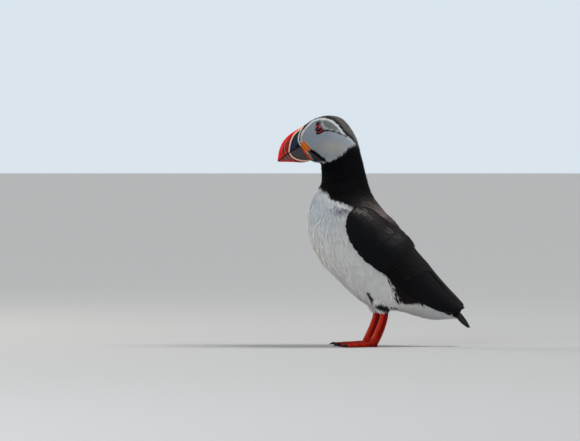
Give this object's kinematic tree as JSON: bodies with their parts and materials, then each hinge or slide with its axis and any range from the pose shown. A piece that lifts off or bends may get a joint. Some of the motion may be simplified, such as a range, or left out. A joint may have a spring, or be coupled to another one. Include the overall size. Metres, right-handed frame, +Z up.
{
  "type": "atlantic puffin",
  "caption": "Life-size still model of an Atlantic puffin standing upright and alert, black back, white breast, banded orange-red bill and webbed orange feet.",
  "frame": {"origin": "middle of the footprint on the floor: on the body's midplane, half way between bill tip and tail tip, at the height of the soles", "axes": "+Z up; the bill points along -Y and the tail along +Y; the bird's left side is +X"},
  "size_m": [0.0956, 0.2, 0.2399],
  "materials": {
    "plumage": "soft matt feathers, black above and white below with a grey face",
    "flight_feathers": "matt black feathers with a slight sheen",
    "bill_horn": "smooth horn, scarlet with cream ridges and a slate triangle",
    "cere_skin": "pitted cream skin",
    "rosette_skin": "wrinkled soft orange skin",
    "eye": "wet, near black with a red rim",
    "eye_plate": "smooth blue-grey horn",
    "leg_skin": "scaly orange-red skin, satin",
    "claw_horn": "polished dark horn"
  },
  "bodies": {
    "root": {"head": "plumage", "neck": "plumage", "trunk": "plumage", "rump": "plumage", "thigh_left": "plumage", "thigh_right": "plumage", "wing_coverts_left": "flight_feathers", "wing_secondaries_left": "flight_feathers", "wing_primaries_left": "flight_feathers", "wing_coverts_right": "flight_feathers", "wing_secondaries_right": "flight_feathers", "wing_primaries_right": "flight_feathers", "tail": "flight_feathers", "bill_upper": "bill_horn", "bill_lower": "bill_horn", "cere": "cere_skin", "gape_rosette_left": "rosette_skin", "gape_rosette_right": "rosette_skin", "eye_left": "eye", "eye_right": "eye", "eye_plate_upper_left": "eye_plate", "eye_plate_lower_left": "eye_plate", "eye_plate_upper_right": "eye_plate", "eye_plate_lower_right": "eye_plate", "tarsus_left": "leg_skin", "foot_left": "leg_skin", "tarsus_right": "leg_skin", "foot_right": "leg_skin", "claw_inner_left": "claw_horn", "claw_middle_left": "claw_horn", "claw_outer_left": "claw_horn", "claw_inner_right": "claw_horn", "claw_middle_right": "claw_horn", "claw_outer_right": "claw_horn"}
  },
  "joints": []
}
